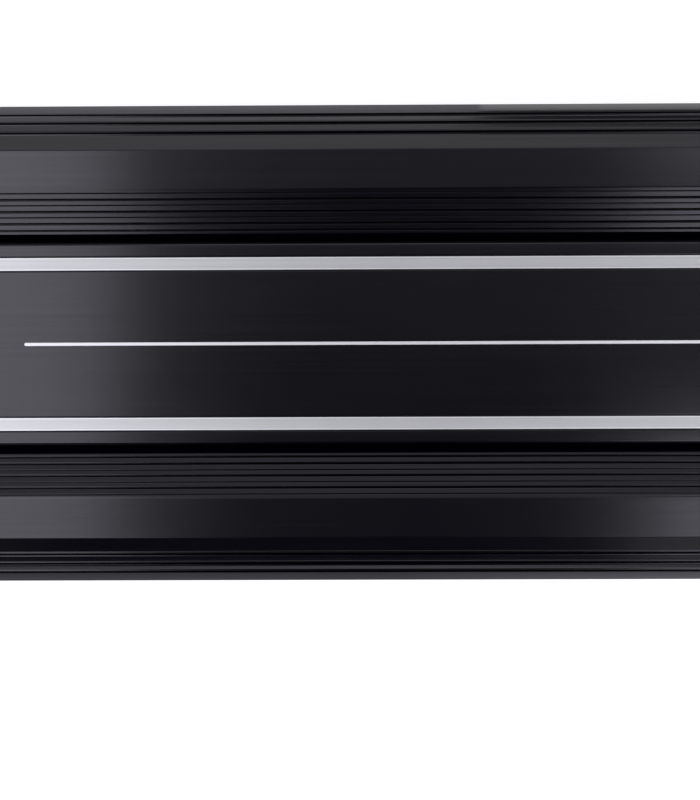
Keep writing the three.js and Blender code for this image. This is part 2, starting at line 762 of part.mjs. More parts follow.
/** A row of flat transistor packages on one thermal strip, facing the wall at +Y. */
function transistorRow() {
  const { count, pitch, width, thick, from, to } = TRANSISTOR;
  const wall = WALL_IN - FIT;
  const strip = 0.6;
  const half = (count * pitch) / 2;
  const pad = box([-half, half], [wall - strip, wall], [from - 1, to + 1]);
  const packages = Array.from({ length: count }, (_, i) => {
    const x = (i - (count - 1) / 2) * pitch;
    const body = box(
      [x - width / 2, x + width / 2],
      [wall - strip - thick, wall - strip / 2],
      [from, to],
    );
    const legs = box([x - 6, x + 6], [wall - strip - 4.3, wall - strip - 3.5], [ON_BOARD, from + 1]);
    return join(body, legs);
  });
  return join(pad, ...packages);
}

/** A flat bar that presses one row of transistors against the wall at +Y. */
function clampBar() {
  const { count, pitch, thick, from, to } = TRANSISTOR;
  const face = WALL_IN - FIT - 0.6 - thick - FIT;
  const middle = (from + to) / 2 + 2;
  const half = (count * pitch) / 2;
  return box([-half, half], [face - 3, face], [middle - 5, middle + 5]);
}

function addElectronics() {
  const inset = 1; // boards stop short of the end plates
  const splits = [-292, 60];
  const between = 1;
  const edges = [-HALF_BODY + inset, ...splits, HALF_BODY - inset];
  ["preamp_board", "output_stage_board", "power_supply_board"].forEach((name, i) => {
    const shape = board(edges[i] + between, edges[i + 1] - between);
    place(electronics, name, shape, GREEN_BOARD);
  });
  TRANSFORMER.x.forEach((x, i) => {
    const shape = toroid(TRANSFORMER.r, TRANSFORMER.holeR, TRANSFORMER.height);
    place(electronics, `power_transformer_${i + 1}`, shape, COPPER, [x, 0, ON_BOARD]);
  });
  const coil = toroid(INDUCTOR.r, INDUCTOR.holeR, INDUCTOR.height);
  place(electronics, "output_inductor", coil, COPPER, [INDUCTOR.x, 0, ON_BOARD]);
  let number = 0;
  for (const x of CAPACITOR.x) {
    for (const side of [-1, 1]) {
      number += 1;
      const seat = [x, side * CAPACITOR.y, ON_BOARD];
      place(electronics, `filter_capacitor_${number}`, capacitor(), SLEEVE, seat);
    }
  }
  const seat = [TRANSISTOR.middle, 0, 0];
  for (const [label, turn] of [
    ["rear", 0],
    ["front", Math.PI],
  ]) {
    const row = place(electronics, `transistor_row_${label}`, transistorRow(), EPOXY, seat);
    const bar = place(electronics, `transistor_clamp_bar_${label}`, clampBar(), CONTACT, seat);
    row.rotation.z = turn;
    bar.rotation.z = turn;
  }
}

// ---------------------------------------------------------------- assembly

place(chassis, "heatsink_extrusion", heatsink(), ANODISED);
place(chassis, "bottom_plate", bottomPlate(), PAINTED);
place(powerEnd, "power_end_plate", powerEndPlate(), PAINTED);
place(controlEnd, "control_end_plate", controlEndPlate(), PAINTED);
addPlateScrews();
addClamps();
place(powerEnd, "status_led", statusLed(), LENS);
addControls();
addElectronics();

export default amplifier;
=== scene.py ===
"""A long black car audio amplifier on a plain white floor, seen from straight above.

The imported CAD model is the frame. Its flat pieces stay and get finishes. The heatsink, and the round
and small pieces that show, are replaced by finer ones in the same places. Metres; +X runs along the
case towards the cable clamps, and +Z is up.

The black case is lit by what it reflects: overhead softboxes, a world that is pale beyond +Y and dark
beyond -Y, and grey cards on the floor and upright beside it that only reflections see.
"""

import math

import bmesh
import bpy
from mathutils import Matrix, Vector


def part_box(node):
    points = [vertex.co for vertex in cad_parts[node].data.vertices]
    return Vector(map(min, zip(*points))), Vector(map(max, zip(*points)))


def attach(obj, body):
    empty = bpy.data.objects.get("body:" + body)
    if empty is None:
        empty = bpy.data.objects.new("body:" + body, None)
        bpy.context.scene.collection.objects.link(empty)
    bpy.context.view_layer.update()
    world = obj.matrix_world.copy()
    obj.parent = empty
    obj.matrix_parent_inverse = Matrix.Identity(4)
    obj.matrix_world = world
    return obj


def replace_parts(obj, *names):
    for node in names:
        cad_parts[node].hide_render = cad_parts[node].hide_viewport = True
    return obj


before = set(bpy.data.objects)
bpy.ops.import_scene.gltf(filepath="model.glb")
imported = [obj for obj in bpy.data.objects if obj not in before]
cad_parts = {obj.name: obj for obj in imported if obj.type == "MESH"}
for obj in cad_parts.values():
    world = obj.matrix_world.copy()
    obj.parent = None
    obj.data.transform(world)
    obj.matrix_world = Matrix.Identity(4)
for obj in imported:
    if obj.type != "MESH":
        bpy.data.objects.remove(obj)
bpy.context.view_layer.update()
MM = 0.001

# ---------------------------------------------------------------- dimensions

# Corner roundings.
HEATSINK_ROUNDING = 0.45 * MM
SHARP_CORNER_ROUNDING = 2 * MM
PLATE_BEVEL = 0.35 * MM
MOULDING_BEVEL = 0.3 * MM
PART_BEVEL = 0.15 * MM
ROUND_SEGMENTS = 48
HEXAGON = 6

# Bright trim along the heatsink's middle panel. The strips' tops stand proud by SEAT_GAP.
PANEL_TOP = 59 * MM
STRIP_FROM = 36.95 * MM
STRIP_TO = 43.15 * MM
STRIP_SEAT = 58 * MM
# Width of each strip's edge band, whose metal is painted brighter as a highlight.
STRIP_HIGHLIGHT_BAND = 0.5 * MM
SEAT_GAP = 0.02 * MM
LINE_HALF_WIDTH = 0.77 * MM
LINE_SEAT_HALF_WIDTH = 0.9 * MM
LINE_START = 36 * MM
LINE_THICKNESS = 0.08 * MM

# End plates' outer faces and what is on them.
PLATE_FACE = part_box("power_end_plate")[1].x
CONTROLS = ("gain", "low_pass", "subsonic", "bass_boost")
KNOB_SLOT = 0.9 * MM
TICK_COUNT = 11
TICK_SWEEP = math.radians(300)
TICK_RADII = (5.4 * MM, 7.0 * MM)
TICK_WIDTH = 0.5 * MM
PRINT_THICKNESS = 0.06 * MM
POLARITY_SIZE = 5 * MM
POLARITY_HEIGHT = 46 * MM
STATUS_LIGHT = (2 * MM, 30 * MM)  # its place across and up
COVER_SCREW_Y = 112 * MM
COVER_SCREW_STEP = 144 * MM
COVER_SCREWS_PER_SIDE = 6

# The view: camera distance, the height of what it sees, and how it leans and rolls.
CAMERA_DISTANCE = 2.2
VIEW_HEIGHT = 0.4
VIEW_CENTRE = Vector((0.199, -0.0284, PANEL_TOP))
CAMERA_LEAN = Vector((0.025, 0.024, 1))
CAMERA_ROLL = math.radians(-0.24)
SENSOR = 36

# ---------------------------------------------------------------- material graphs


class Finish:
    """A material with a Principled shader, and short calls that add nodes to its graph."""

    def __init__(self, name, sockets):
        self.material = bpy.data.materials.new(name)
        self.material.use_nodes = True
        self.nodes = self.material.node_tree.nodes
        self.links = self.material.node_tree.links
        self.shader = self.nodes["Principled BSDF"]
        self.set(sockets)

    def set(self, sockets):
        for name, value in sockets.items():
            self.feed(self.shader.inputs[name], value)

    def feed(self, socket, value):
        if isinstance(value, bpy.types.NodeSocket):
            self.links.new(value, socket)
        else:
            socket.default_value = value

    def add(self, kind, inputs, output, **settings):
        """A new node's output socket."""
        node = self.nodes.new("ShaderNode" + kind)
        for name, value in settings.items():
            setattr(node, name, value)
        for name, value in inputs.items():
            self.feed(node.inputs[name], value)
        return node.outputs[output]

    def noise(self, cells, detail=3.0):
        """Noise with that many cells per metre along each axis of the object."""
        here = self.add("TexCoord", {}, "Object")
        stretched = self.add("Mapping", {"Vector": here, "Scale": cells}, "Vector")
        return self.add("TexNoise", {"Vector": stretched, "Scale": 1.0, "Detail": detail}, "Fac")

    def spread(self, value, low, high):
        """A noise value, which is mostly between 0.3 and 0.7, stretched to run from low to high."""
        limits = {"From Min": 0.3, "From Max": 0.7, "To Min": low, "To Max": high}
        return self.add("MapRange", {"Value": value, **limits}, "Result")

    def tint(self, factor, first, second):
        return self.add("MixRGB", {"Fac": factor, "Color1": first, "Color2": second}, "Color")

    def bump(self, height, strength, depth):
        return self.add("Bump", {"Height": height, "Strength": strength, "Distance": depth}, "Normal")


def rgb(red, green, blue):
    return (red, green, blue, 1.0)


def brushed(name, dark, light, roughness, sockets, strength=0.25):
    """Metal or sealed oxide brushed along X: fine streaks over broad faint ones."""
    finish = Finish(name, sockets)
    fine = finish.noise((9, 5200, 5200), 2.0)
    broad = finish.noise((1.6, 420, 420), 3.0)
    streaks = finish.noise((4, 900, 900), 2.0)
    cloud = finish.noise((14, 22, 22), 2.0)
    low, high = roughness
    finish.set(
        {
            "Base Color": finish.tint(finish.spread(broad, 0, 1), dark, light),
            "Specular IOR Level": finish.spread(streaks, 0.46, 0.54),
            "Roughness": finish.spread(finish.tint(0.35, fine, cloud), low, high),
            "Normal": finish.bump(finish.tint(0.3, fine, broad), strength, 0.02 * MM),
            "Tangent": finish.add("CombineXYZ", {"X": 1.0}, "Vector"),
        }
    )
    return finish.material


def grained(name, dark, light, roughness, cells, depth, sockets):
    """A cast or sprayed surface: fine even grain with slow changes of tone."""
    finish = Finish(name, sockets)
    grain = finish.noise((cells, cells, cells), 2.0)
    cloud = finish.noise((30, 30, 30), 3.0)
    low, high = roughness
    finish.set(
        {
            "Base Color": finish.tint(finish.spread(cloud, 0, 1), dark, light),
            "Roughness": finish.spread(grain, low, high),
            "Normal": finish.bump(grain, 0.4, depth),
        }
    )
    return finish.material


def circuit_board():
    """Green solder mask over copper tracks, seen as slightly raised paler lanes."""
    finish = Finish("circuit_board", {"Specular IOR Level": 0.5})
    here = finish.add("TexCoord", {}, "Object")
    white = rgb(1, 1, 1)
    bricks = {"Vector": here, "Scale": 90.0, "Mortar Size": 0.06, "Color1": white, "Color2": white}
    lanes = finish.add("TexBrick", bricks, "Fac")
    weave = finish.noise((2200, 2200, 2200), 1.0)
    finish.set(
        {
            "Base Color": finish.tint(lanes, rgb(0.012, 0.09, 0.04), rgb(0.03, 0.16, 0.07)),
            "Roughness": finish.spread(weave, 0.35, 0.5),
            "Normal": finish.bump(lanes, 0.5, 0.05 * MM),
        }
    )
    return finish.material


def copper_winding():
    """Enamelled wire laid side by side, with painted shade darkening the grooves between the wires."""
    finish = Finish("copper_winding", {"Metallic": 0.9, "Coat Weight": 0.5, "Coat Roughness": 0.15})
    here = finish.add("TexCoord", {}, "Object")
    windings_with_groove_shade = finish.add("TexWave", {"Vector": here, "Scale": 160.0, "Distortion": 1.5}, "Fac")
    finish.set(
        {
            # Painted shade: the colour darkens with the same wave that forms the grooves between the wires.
            "Base Color": finish.tint(windings_with_groove_shade, rgb(0.16, 0.05, 0.015), rgb(0.5, 0.19, 0.07)),
            "Roughness": finish.spread(windings_with_groove_shade, 0.3, 0.45),
            "Normal": finish.bump(windings_with_groove_shade, 0.8, 0.3 * MM),
        }
    )
    return finish.material


BLACK_OXIDE_TOP = brushed(
    "black_anodised",
    rgb(0.0003, 0.0003, 0.002),
    rgb(0.0009, 0.0008, 0.003),
    (0.15, 0.21),
    {"Metallic": 0.0, "IOR": 1.52, "Anisotropic": 0.15, "Anisotropic Rotation": 0.25},
)
BRIGHT_CUT = brushed(
    "bright_cut",
    rgb(0.5, 0.51, 0.49),
    rgb(0.55, 0.56, 0.54),
    (0.4, 0.5),
    {"Metallic": 0.75, "Anisotropic": 0.3, "Anisotropic Rotation": 0.25},
    0.15,
)
# A brighter copy of the strip metal: on the strips' edge bands it is a painted highlight, and the centre
# lines are made of it.
EDGE_HIGHLIGHT_AND_LINE_METAL = brushed(
    "painted_edge_highlight_and_line_metal",
    rgb(0.7, 0.71, 0.69),
    rgb(0.76, 0.77, 0.75),
    (0.4, 0.5),
    {"Metallic": 0.75, "Anisotropic": 0.3, "Anisotropic Rotation": 0.25},
    0.15,
)
POWDER_COAT = grained(
    "black_powder_coat", rgb(0.006, 0.006, 0.007), rgb(0.011, 0.011, 0.012), (0.42, 0.58), 2600, 0.04 * MM,
    {"IOR": 1.5},
)
NYLON = grained(
    "black_nylon", rgb(0.008, 0.008, 0.009), rgb(0.014, 0.014, 0.015), (0.5, 0.65), 1500, 0.05 * MM,
    {"IOR": 1.5},
)
KNOB_PLASTIC = grained(
    "knob_plastic", rgb(0.01, 0.01, 0.011), rgb(0.016, 0.016, 0.017), (0.3, 0.42), 1800, 0.02 * MM,
    {"IOR": 1.5},
)
EPOXY = grained(
    "epoxy", rgb(0.012, 0.012, 0.013), rgb(0.02, 0.02, 0.021), (0.5, 0.62), 3000, 0.03 * MM,
    {"IOR": 1.5},
)
CAPACITOR_SLEEVE = grained(
    "capacitor_sleeve", rgb(0.008, 0.01, 0.02), rgb(0.014, 0.016, 0.03), (0.25, 0.35), 700, 0.03 * MM,
    {"IOR": 1.5},
)
NICKEL = brushed(
    "satin_nickel", rgb(0.5, 0.48, 0.43), rgb(0.6, 0.58, 0.53), (0.28, 0.4), {"Metallic": 1.0}, 0.2
)
GOLD = brushed(
    "gold_plate", rgb(0.75, 0.5, 0.18), rgb(0.85, 0.6, 0.25), (0.18, 0.28), {"Metallic": 1.0}, 0.1
)
BLACK_STEEL = grained(
    "black_oxide_steel", rgb(0.02, 0.02, 0.021), rgb(0.04, 0.04, 0.042), (0.3, 0.42), 900, 0.02 * MM,
    {"Metallic": 0.85},
)
PLATED_BAR = brushed(
    "plated_bar", rgb(0.45, 0.45, 0.46), rgb(0.55, 0.55, 0.56), (0.35, 0.5), {"Metallic": 1.0}, 0.2
)
PRINT_WHITE = grained(
    "printed_marks", rgb(0.55, 0.55, 0.56), rgb(0.66, 0.66, 0.67), (0.5, 0.6), 2000, 0.01 * MM,
    {"IOR": 1.5},
)
RED_INSULATOR = grained(
    "red_insulator", rgb(0.4, 0.015, 0.012), rgb(0.5, 0.025, 0.02), (0.35, 0.45), 1500, 0.02 * MM,
    {"IOR": 1.5},
)
WHITE_INSULATOR = grained(
    "white_insulator", rgb(0.7, 0.69, 0.66), rgb(0.78, 0.77, 0.74), (0.35, 0.45), 1500, 0.02 * MM,
    {"IOR": 1.5},
)
LENS = grained(
    "green_lens", rgb(0.02, 0.4, 0.1), rgb(0.03, 0.5, 0.14), (0.12, 0.2), 500, 0.02 * MM,
    {"Emission Color": rgb(0.05, 0.9, 0.25), "Emission Strength": 0.4, "Coat Weight": 0.6},
)
CIRCUIT_BOARD = circuit_board()
COPPER_WINDING = copper_winding()

# ---------------------------------------------------------------- mesh helpers


def piece(name, mesh, material, body="case", smooth_angle=35):
    """A new piece of the object that moves with a CAD body. mesh is a bmesh, and is used up."""
    bmesh.ops.recalc_face_normals(mesh, faces=mesh.faces)
    data = bpy.data.meshes.new(name)
    mesh.to_mesh(data)
    mesh.free()
    data.materials.append(material)
    data.polygons.foreach_set("use_smooth", [True] * len(data.polygons))
    data.set_sharp_from_angle(angle=math.radians(smooth_angle))
    made = bpy.data.objects.new(name, data)
    bpy.context.scene.collection.objects.link(made)
    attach(made, body)
    return made


def weigh_normals(made):
    """Keeps wide faces flat where they run into narrow roundings."""
    modifier = made.modifiers.new("weighted_normal", "WEIGHTED_NORMAL")
    modifier.keep_sharp = True
    modifier.weight = 100


def bevel(made, width, segments=2):
    modifier = made.modifiers.new("bevel", "BEVEL")
    modifier.width = width
    modifier.segments = segments
    modifier.limit_method = "ANGLE"
    modifier.angle_limit = math.radians(40)
    modifier.use_clamp_overlap = True


def ring(mesh, centre, axis, radius, segments):
    """A circle of vertices about axis, which is X or Z."""
    turned = []
    for i in range(segments):
        angle = 2 * math.pi * i / segments
        across, up = radius * math.cos(angle), radius * math.sin(angle)
        offset = (0, across, up) if axis == "X" else (across, up, 0)
        turned.append(mesh.verts.new(Vector(centre) + Vector(offset)))
    return turned


def lathe(mesh, profile, centre, axis, segments=ROUND_SEGMENTS):
    """Adds a turned solid. profile is (radius, distance along axis) pairs; zero radius is the axis."""
    along = Vector((1, 0, 0)) if axis == "X" else Vector((0, 0, 1))
    rows = []
    for radius, distance in profile:
        middle = Vector(centre) + along * distance
        rows.append([mesh.verts.new(middle)] if radius == 0 else ring(mesh, middle, axis, radius, segments))
    for first, second in zip(rows, rows[1:]):
        for i in range(segments):
            j = (i + 1) % segments
            corners = [first[i % len(first)], first[j % len(first)], second[j % len(second)]]
            corners.append(second[i % len(second)])
            face = list(dict.fromkeys(corners))
            if len(face) > 2:
                mesh.faces.new(face)
    return mesh


def closed_lathe(mesh, profile, centre, axis, segments=ROUND_SEGMENTS):
    """Adds a turned ring whose profile closes on itself."""
    lathe(mesh, profile + profile[:1], centre, axis, segments)
    bmesh.ops.remove_doubles(mesh, verts=mesh.verts, dist=1e-7)
    return mesh


def block(mesh, low, high):
    """Adds a box between two corners."""
    size = Vector(high) - Vector(low)
    middle = (Vector(high) + Vector(low)) / 2
    bmesh.ops.create_cube(mesh, size=1.0, matrix=Matrix.Translation(middle) @ Matrix.Diagonal((*size, 1)))
    return mesh


def prism(mesh, outline, low, high):
    """Adds the sides of a solid whose (y, z) outline runs along X between two values of x."""
    first = [mesh.verts.new((low, y, z)) for y, z in outline]
    last = [mesh.verts.new((high, y, z)) for y, z in outline]
    for i in range(len(outline)):
        j = (i + 1) % len(outline)
        mesh.faces.new((first[i], first[j], last[j], last[i]))


def carve(made, cutter):
    """Cuts one bmesh out of a finished piece."""
    bmesh.ops.recalc_face_normals(cutter, faces=cutter.faces)
    data = bpy.data.meshes.new("cutter")
    cutter.to_mesh(data)
    cutter.free()
    tool = bpy.data.objects.new("cutter", data)
    bpy.context.scene.collection.objects.link(tool)
    modifier = made.modifiers.new("carve", "BOOLEAN")
    modifier.operation = "DIFFERENCE"
    modifier.solver = "EXACT"
    modifier.object = tool
    bpy.context.view_layer.update()
    cut = bpy.data.meshes.new_from_object(made.evaluated_get(bpy.context.evaluated_depsgraph_get()))
    made.modifiers.clear()
    made.data = cut
    bpy.data.objects.remove(tool)
    cut.set_sharp_from_angle(angle=math.radians(35))


def middle_of(node):
    low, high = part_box(node)
    return (low + high) / 2


# ---------------------------------------------------------------- heatsink


def end_outlines(node):
    """The closed outlines of a prism's +X end, as lists of (y, z)."""
    mesh = bmesh.new()
    mesh.from_mesh(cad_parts[node].data)
    bmesh.ops.remove_doubles(mesh, verts=mesh.verts, dist=1e-6)
    end = max(vertex.co.x for vertex in mesh.verts)
    rim = {}
    for edge in mesh.edges:
        caps = sum(face.normal.x > 0.9 for face in edge.link_faces)
        if caps == 1 and all(end - vertex.co.x < 1e-6 for vertex in edge.verts):
            first, second = edge.verts
            rim.setdefault(first, []).append(second)
            rim.setdefault(second, []).append(first)
    outlines = []
    while rim:
        start = next(iter(rim))
        outline, here = [], start
        while here in rim:
            outline.append((here.co.y, here.co.z))
            onward = [vertex for vertex in rim.pop(here) if vertex in rim]
            here = onward[0] if onward else None
        outlines.append(outline)
    mesh.free()
    return sorted(outlines, key=len, reverse=True)


def rounded(outline, steps=4):
    """An outline with its corners turned into short curves, wider at corners under 65 degrees."""
    made = []
    for i, corner in enumerate(outline):
        here = Vector(corner)
        before = Vector(outline[i - 1]) - here
        after = Vector(outline[(i + 1) % len(outline)]) - here
        bend = math.pi - before.angle(after)
        if bend < math.radians(20):
            made.append(tuple(here))
            continue
        sharp = bend > math.radians(115)
        radius, share = (SHARP_CORNER_ROUNDING, 0.55) if sharp else (HEATSINK_ROUNDING, 0.42)
        reach = min(radius, share * before.length, share * after.length)
        start = here + before.normalized() * reach
        stop = here + after.normalized() * reach
        for step in range(steps + 1):
            t = step / steps
            made.append(tuple(start.lerp(here, t).lerp(here.lerp(stop, t), t)))
    return made


def heatsink():
    """The extrusion, with softened corners and without the centre line's seat."""
    outer, *channels = end_outlines("heatsink_extrusion")
    clear = LINE_SEAT_HALF_WIDTH + 0.1 * MM
    below = PANEL_TOP - 2 * MM
    beside_seat = [(y, z) for y, z in outer if abs(y) > clear or z < below]
    low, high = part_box("heatsink_extrusion")
    mesh = bmesh.new()
    for outline in [rounded(beside_seat), *channels]:
        prism(mesh, outline, low.x, high.x)
    for end in (low.x, high.x):
        edges = [e for e in mesh.edges if all(abs(v.co.x - end) < 1e-6 for v in e.verts)]
        bmesh.ops.triangle_fill(mesh, edges=edges, use_beauty=True, use_dissolve=False)
    made = piece("heatsink_body", mesh, BLACK_OXIDE_TOP, smooth_angle=50)
    weigh_normals(made)
    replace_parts(made, "heatsink_extrusion")


def bright_strips():
    """Two brushed strips seated in their grooves, each between two edge bands painted brighter as a
    highlight.
    """
    low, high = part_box("heatsink_extrusion")

    def bar(mesh, side, start, stop):
        near, far = sorted((side * start, side * stop))
        block(mesh, (low.x, near, STRIP_SEAT + SEAT_GAP), (high.x, far, PANEL_TOP + SEAT_GAP))
        return mesh

    inner, outer = STRIP_FROM + STRIP_HIGHLIGHT_BAND, STRIP_TO - STRIP_HIGHLIGHT_BAND
    edges = bmesh.new()
    for side, name in ((1, "bright_strip_rear"), (-1, "bright_strip_front")):
        piece(name, bar(bmesh.new(), side, inner, outer), BRIGHT_CUT)
        # The edge bands get the brighter metal, a painted highlight along each strip's edges.
        bar(edges, side, STRIP_FROM, inner)
        bar(edges, side, outer, STRIP_TO)
    piece("strip_painted_edge_highlights", edges, EDGE_HIGHLIGHT_AND_LINE_METAL)


def centre_line():
    """A thin bright line on each half of the panel, round at its inner end."""
    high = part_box("heatsink_extrusion")[1]
    for side, name in ((1, "centre_line_power_end"), (-1, "centre_line_control_end")):
        inner = LINE_START + LINE_HALF_WIDTH
        turns = [math.radians(90 + 15 * i) for i in range(13)]
        outline = [(high.x, -LINE_HALF_WIDTH), (high.x, LINE_HALF_WIDTH)]
        outline += [(inner + LINE_HALF_WIDTH * math.cos(a), LINE_HALF_WIDTH * math.sin(a)) for a in turns]
        mesh = bmesh.new()
        levels = []
        for z in (PANEL_TOP, PANEL_TOP + LINE_THICKNESS):
            levels.append([mesh.verts.new((side * x, y, z)) for x, y in outline])
            mesh.faces.new(levels[-1])
        for i in range(len(outline)):
            j = (i + 1) % len(outline)
            mesh.faces.new((levels[0][i], levels[0][j], levels[1][j], levels[1][i]))
        piece(name, mesh, EDGE_HIGHLIGHT_AND_LINE_METAL, smooth_angle=20)


# ---------------------------------------------------------------- screws


def screw(name, node, body, head, socket, axis, facing):
    """A turned screw with a hexagon socket. head is its profile from the far end to the driven end."""
    mesh = lathe(bmesh.new(), head, middle_of(node), axis)
    made = piece(name, mesh, BLACK_STEEL, body)
    radius, depth = socket
    tip = facing * max(distance * facing for _, distance in head)
    bottom, past = tip - facing * depth, tip + facing * MM
    well = [(0, bottom), (radius, bottom), (radius, past), (0, past)]
    carve(made, lathe(bmesh.new(), well, middle_of(node), axis, HEXAGON))
    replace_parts(made, node)


def plate_screws():
    """Button-head screws that hold the end plates."""
    for end, facing in (("power", 1), ("control", -1)):
        for number in range(1, 5):
            node = f"{end}_plate_screw_{number}"
            low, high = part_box(node)
            half = (high.x - low.x) / 2
            seat = half - 2.3 * MM
            shank = 1.6 * MM
            crown = [(3.8, 0.25), (3.78, 0.6), (3.5, 1.2), (2.9, 1.75), (2.2, 2.1), (1.9, 2.3)]
            profile = [(0, -half), (shank - 0.3 * MM, -half), (shank, -half + 0.4 * MM)]
            profile += [(shank, seat), (3.7 * MM, seat)]
            profile += [(radius * MM, seat + rise * MM) for radius, rise in crown]
            profile += [(0, half)]
            head = [(radius, facing * distance) for radius, distance in profile]
            screw(f"{end}_plate_fixing_{number}", node, "case", head, (1.25 * MM, 1.4 * MM), "X", facing)


def clamp_screws():
    """Headless screws over the cable bores, with shallow thread grooves."""
    sockets = {"ground": 2.3, "battery": 2.3, "remote": 1.15, "speaker_minus": 1.75, "speaker_plus": 1.75}
    for clamp, socket in sockets.items():
        numbers = [""] if clamp == "remote" else ["_1", "_2"]
        for number in numbers:
            node = f"{clamp}_clamp_screw{number}"
            low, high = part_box(node)
            radius, half = (high.y - low.y) / 2, (high.z - low.z) / 2
            pitch = 1 * MM
            point, root = 0.3 * radius, 0.94 * radius
            profile = [(0, -half), (radius - point, -half), (root, -half + point)]
            turns = int((2 * half - point - 0.8 * MM) / pitch)
            for turn in range(turns):
                base = -half + point + turn * pitch
                profile += [(radius, base + 0.45 * pitch), (root, base + pitch)]
            profile += [(radius * 0.97, half - 0.25 * MM), (0.88 * radius, half), (0, half)]
            body = f"{clamp}_screw{number}"
            screw(f"{clamp}_set_screw{number}", node, body, profile, (socket * MM, 0.45 * 2 * half), "Z", 1)


def cover_screws():
    """Countersunk screws up through the bottom plate into the extrusion's flanges."""
    profile = [(0, 0.1), (2.6, 0.1), (2.85, 0.3), (1.5, 1.65), (1.5, 4.5), (0, 4.5)]
    for number in range(COVER_SCREWS_PER_SIDE):
        x = (number - (COVER_SCREWS_PER_SIDE - 1) / 2) * COVER_SCREW_STEP
        for side, label in ((-1, "front"), (1, "rear")):
            centre = (x, side * COVER_SCREW_Y, 0)
            head = [(radius * MM, distance * MM) for radius, distance in profile]
            mesh = lathe(bmesh.new(), head, centre, "Z", 24)
            made = piece(f"cover_screw_{label}_{number + 1}", mesh, BLACK_STEEL)
            well = [(0, -MM), (MM, -MM), (MM, MM), (0, MM)]
            carve(made, lathe(bmesh.new(), well, centre, "Z", HEXAGON))


# ---------------------------------------------------------------- jacks and controls


def jack_sleeves():
    """Gold-plated shells with a rounded lip, and a coloured insulator in each."""
    colours = (WHITE_INSULATOR, RED_INSULATOR, WHITE_INSULATOR, RED_INSULATOR)
    for number, colour in enumerate(colours, 1):
        node = f"rca_jack_sleeve_{number}"
        low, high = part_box(node)
        centre = middle_of(node)
        half = (high.x - low.x) / 2
        lip = [(3.4, 0.4), (3.6, 0.1), (3.8, 0), (4.0, 0.12), (4.15, 0.45)]
        groove = [(4.15, 2.6), (3.95, 2.9), (3.95, 3.4), (4.15, 3.7)]
        profile = [(radius * MM, -half + depth * MM) for radius, depth in lip + groove]
        profile += [(4.15 * MM, half), (3.4 * MM, half)]
        mesh = closed_lathe(bmesh.new(), profile, centre, "X")
        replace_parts(piece(f"phono_shell_{number}", mesh, GOLD), node)
        core = [(1.65, 0.3), (1.65, -0.35), (1.9, -0.5), (2.8, -0.5), (3.05, -0.3), (3.05, 0.3)]
        profile = [(radius * MM, depth * MM) for radius, depth in core]
        front = (low.x + 0.5 * MM, centre.y, centre.z)
        mesh = closed_lathe(bmesh.new(), profile, front, "X")
        piece(f"phono_insulator_{number}", mesh, colour)


def knobs():
    """Short shafts with a screwdriver slot and a chamfered rim."""
    for name in CONTROLS:
        node = f"{name}_knob"
        low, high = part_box(node)
        centre = middle_of(node)
        half = (high.x - low.x) / 2
        radius = (high.y - low.y) / 2
        rim = 0.4 * MM
        profile = [(0, half), (radius, half), (radius, -half + rim), (radius - rim, -half), (0, -half)]
        mesh = lathe(bmesh.new(), profile, centre, "X")
        made = piece(f"{name}_shaft", mesh, KNOB_PLASTIC, f"{name}_control")
        slot_low = (low.x - MM, centre.y - KNOB_SLOT / 2, centre.z - 2 * radius)
        slot_high = (low.x + 1.3 * MM, centre.y + KNOB_SLOT / 2, centre.z + 2 * radius)
        carve(made, block(bmesh.new(), slot_low, slot_high))
        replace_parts(made, node)


def knob_ticks():
    """Printed ticks round each control, open at the bottom."""
    mesh = bmesh.new()
    for name in CONTROLS:
        centre = middle_of(f"{name}_knob")
        inner, outer = TICK_RADII
        for i in range(TICK_COUNT):
            angle = (i / (TICK_COUNT - 1) - 0.5) * TICK_SWEEP
            reach = outer + (0.6 * MM if i % 5 == 0 else 0)
            turn = Matrix.Rotation(angle, 4, "X")
            place = Matrix.Translation((-PLATE_FACE - PRINT_THICKNESS / 2, centre.y, centre.z)) @ turn
            size = Matrix.Diagonal((PRINT_THICKNESS, TICK_WIDTH, reach - inner, 1))
            shift = Matrix.Translation((0, 0, (inner + reach) / 2))
            bmesh.ops.create_cube(mesh, size=1.0, matrix=place @ shift @ size)
    piece("control_ticks", mesh, PRINT_WHITE)


def polarity_marks():
    """Printed plus and minus signs over the cable clamps."""
    mesh = bmesh.new()
    z = POLARITY_HEIGHT
    arm, bar = POLARITY_SIZE / 2, 0.45 * MM
    signs = {"battery": True, "ground": False, "speaker_plus": True, "speaker_minus": False}
    for clamp, plus in signs.items():
        y = middle_of(f"{clamp}_clamp_block").y
        near, far = PLATE_FACE, PLATE_FACE + PRINT_THICKNESS
        block(mesh, (near, y - arm, z - bar), (far, y + arm, z + bar))
        if plus:
            block(mesh, (near, y - bar, z + bar), (far, y + bar, z + arm))
            block(mesh, (near, y - bar, z - arm), (far, y + bar, z - bar))
    piece("polarity_marks", mesh, PRINT_WHITE)


def socket_contacts():
    """Six sprung wires in the modular socket's mouth."""
    low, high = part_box("bass_remote_socket")
    middle = (low.y + high.y) / 2
    count, pitch, half = 6, 1.3 * MM, 0.2 * MM
    mesh = bmesh.new()
    for i in range(count):
        y = middle + (i - (count - 1) / 2) * pitch
        near = (low.x + 2 * MM, y - half, low.z + 1.85 * MM)
        far = (low.x + 11 * MM, y + half, low.z + 2.3 * MM)
        block(mesh, near, far)
    piece("remote_socket_contacts", mesh, GOLD)


